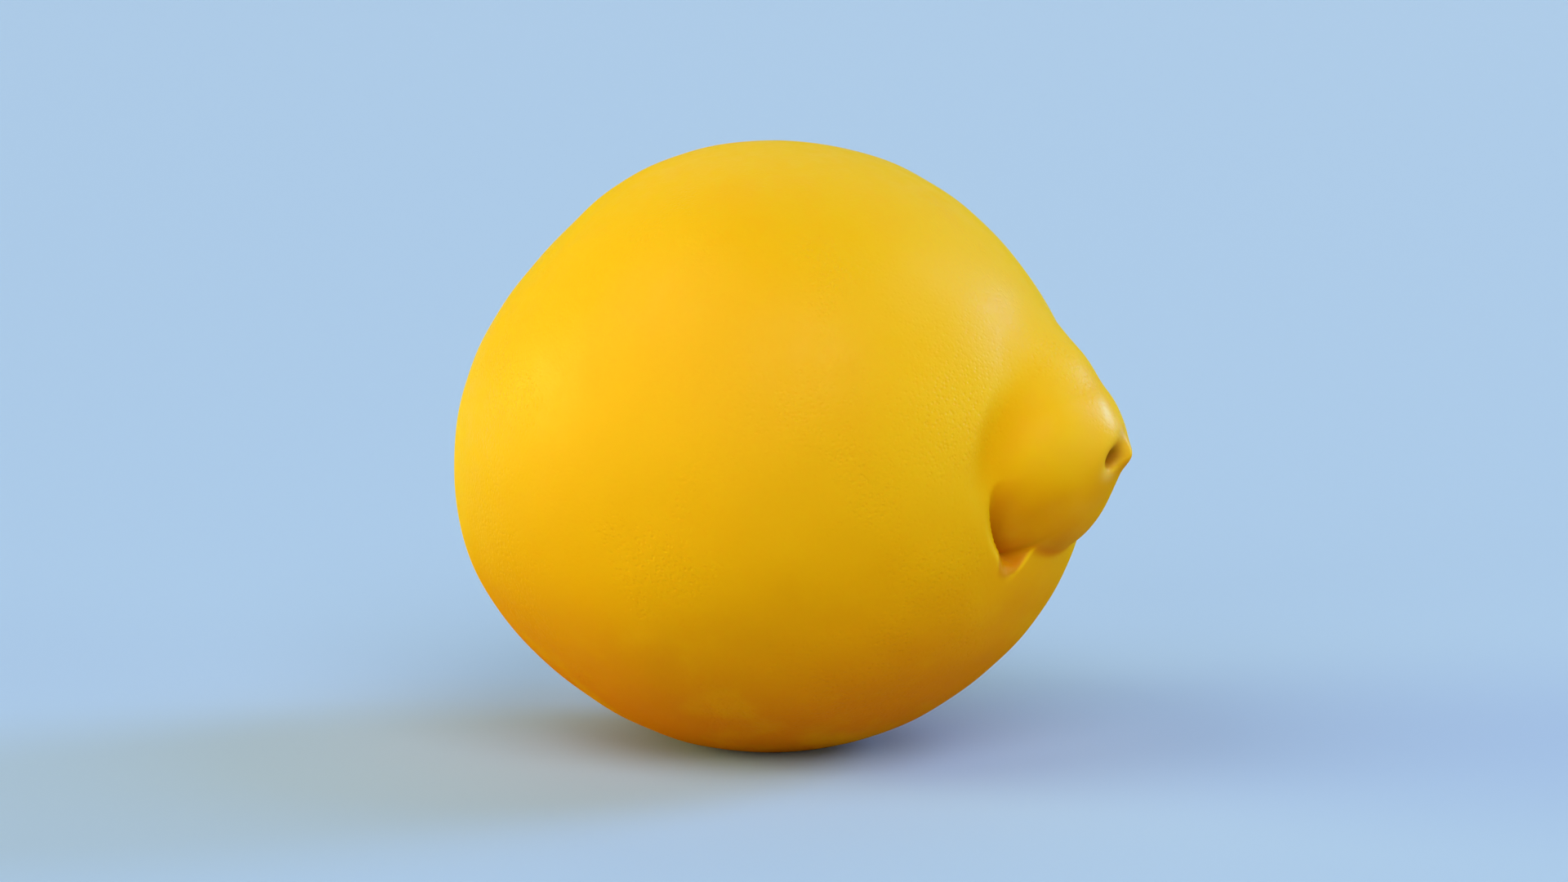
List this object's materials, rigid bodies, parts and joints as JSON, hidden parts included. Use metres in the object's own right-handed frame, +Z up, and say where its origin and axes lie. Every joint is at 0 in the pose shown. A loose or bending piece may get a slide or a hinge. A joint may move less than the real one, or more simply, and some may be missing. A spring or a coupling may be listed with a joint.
{
  "type": "lemon",
  "caption": "Whole fresh lemon with a nearly round body, a blunt nipple with a deep fold at its base, a scar pit at its tip and a low stem button.",
  "frame": {"origin": "centre of the small flat spot the lemon rests on", "axes": "+X along the long axis from the stem end to the nipple, +Z up, +Y to the side away from the deep fold"},
  "size_m": [0.0726, 0.0615, 0.0615],
  "materials": {
    "peel": "waxy fresh lemon peel, warm yellow, finely pored, with a soft satin sheen"
  },
  "bodies": {
    "root": {"lemon": "peel"}
  },
  "joints": []
}
